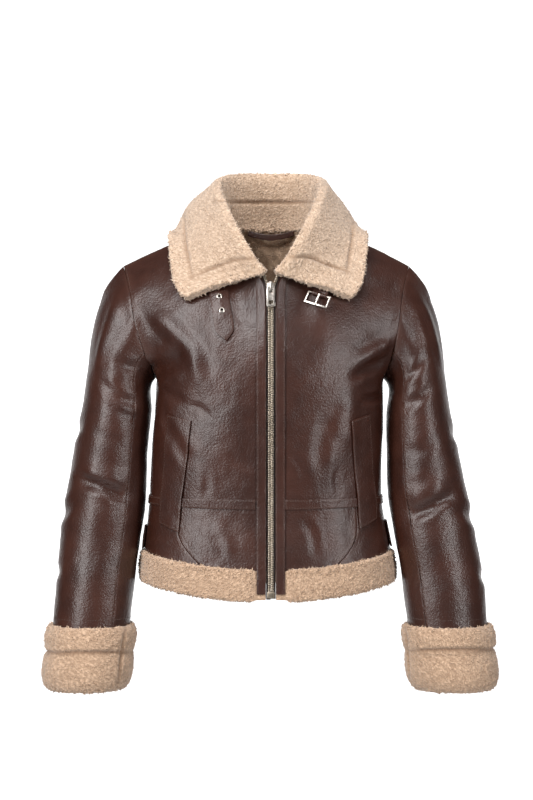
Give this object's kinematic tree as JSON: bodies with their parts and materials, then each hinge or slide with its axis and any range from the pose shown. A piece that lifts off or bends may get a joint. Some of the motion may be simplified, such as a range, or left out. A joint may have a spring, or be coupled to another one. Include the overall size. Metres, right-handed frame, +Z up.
{
  "type": "sherpa lined jacket",
  "caption": "Cropped leather-look jacket lined with sherpa, filled out as worn, with a folded collar, front zip, throat strap and turned-back cuffs.",
  "frame": {"origin": "on the centre plane at the level of the high points of the shoulders, above the side seams, where the wearer's neck and shoulders hold the jacket up", "axes": "+Z up along the wearer's back, the front faces -Y, +X towards the wearer's left side"},
  "size_m": [0.6934, 0.2499, 0.7864],
  "materials": {
    "leather": "semi-gloss, fine pebble grain",
    "sherpa": "curly pile",
    "collar_sherpa": "curly pile",
    "zip_tape": "woven, matt",
    "brass": "antique",
    "nickel": "polished"
  },
  "bodies": {
    "jacket": {"front_right": "leather", "front_left": "leather", "lower_front_right": "leather", "lower_front_left": "leather", "lower_side_right": "leather", "lower_side_left": "leather", "back": "leather", "lower_back": "leather", "waist_strip_right": "leather", "waist_strip_left": "leather", "waist_strip_back": "leather", "top_sleeve_right": "leather", "under_sleeve_right": "leather", "top_sleeve_left": "leather", "under_sleeve_left": "leather", "placket_right": "leather", "placket_left": "leather", "welt_right": "leather", "welt_left": "leather", "throat_strap": "leather", "buckle_tab": "leather", "side_tab_right": "leather", "side_tab_left": "leather", "hanger_loop": "leather", "hem_band_right": "sherpa", "hem_band_left": "sherpa", "hem_band_back": "sherpa", "cuff_right": "sherpa", "cuff_left": "sherpa", "collar": "collar_sherpa", "zip_tape_right": "zip_tape", "zip_tape_left": "zip_tape", "zip_teeth_right": "brass", "zip_teeth_left": "brass", "zip_stop": "brass", "zip_slider": "nickel", "eyelet_upper": "nickel", "eyelet_lower": "nickel"},
    "pull_tab": {"pull_tab": "nickel"},
    "buckle_frame": {"buckle_frame": "nickel"},
    "buckle_prong": {"buckle_prong": "nickel"}
  },
  "joints": [
    {"name": "pull_tab_hinge", "type": "hinge", "parent": "jacket", "child": "pull_tab", "pos_m": [0, -0.11063, -0.09979], "axis": [-1, 0, 0], "range_deg": [0, 150]},
    {"name": "buckle_hinge", "type": "hinge", "parent": "jacket", "child": "buckle_frame", "pos_m": [0.07215, -0.0945, -0.11028], "axis": [-0.9229, 0.2441, 0.2977], "range_deg": [0, 60]},
    {"name": "prong_hinge", "type": "hinge", "parent": "buckle_frame", "child": "buckle_prong", "pos_m": [0.07215, -0.0945, -0.11028], "axis": [-0.9229, 0.2441, 0.2977], "range_deg": [0, 40]}
  ]
}
